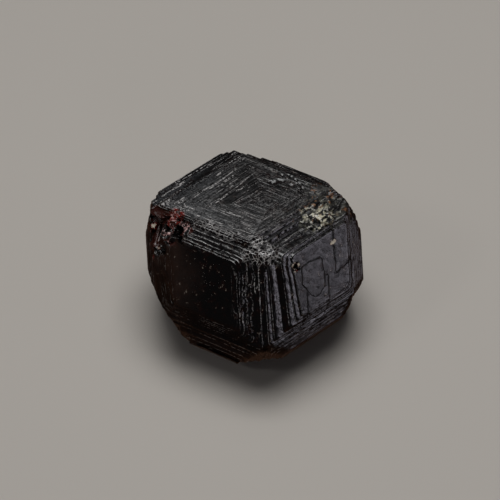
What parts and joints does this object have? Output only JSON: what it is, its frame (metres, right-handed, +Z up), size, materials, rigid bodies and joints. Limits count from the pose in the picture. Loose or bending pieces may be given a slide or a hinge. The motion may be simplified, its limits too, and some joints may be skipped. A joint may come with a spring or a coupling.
{
  "type": "garnet crystal",
  "caption": "Dark garnet crystal: a stepped rhombic dodecahedron with ledged faces, a chipped corner and mica rock clinging to another, resting on a flat face.",
  "frame": {"origin": "on the ground, under the middle of the crystal's bounding box", "axes": "+Z up from the flat face the crystal rests on; +X to the right and -Y to the front as the crystal is shown; the depth along Y is the longest extent and the height along Z the shortest"},
  "size_m": [0.025, 0.0274, 0.019],
  "materials": {
    "garnet": "glassy near-black dark red, with fine growth striations",
    "mica_rock": "rough grey-green mica with small bright flakes"
  },
  "bodies": {
    "root": {"garnet_crystal": "garnet"}
  },
  "joints": []
}
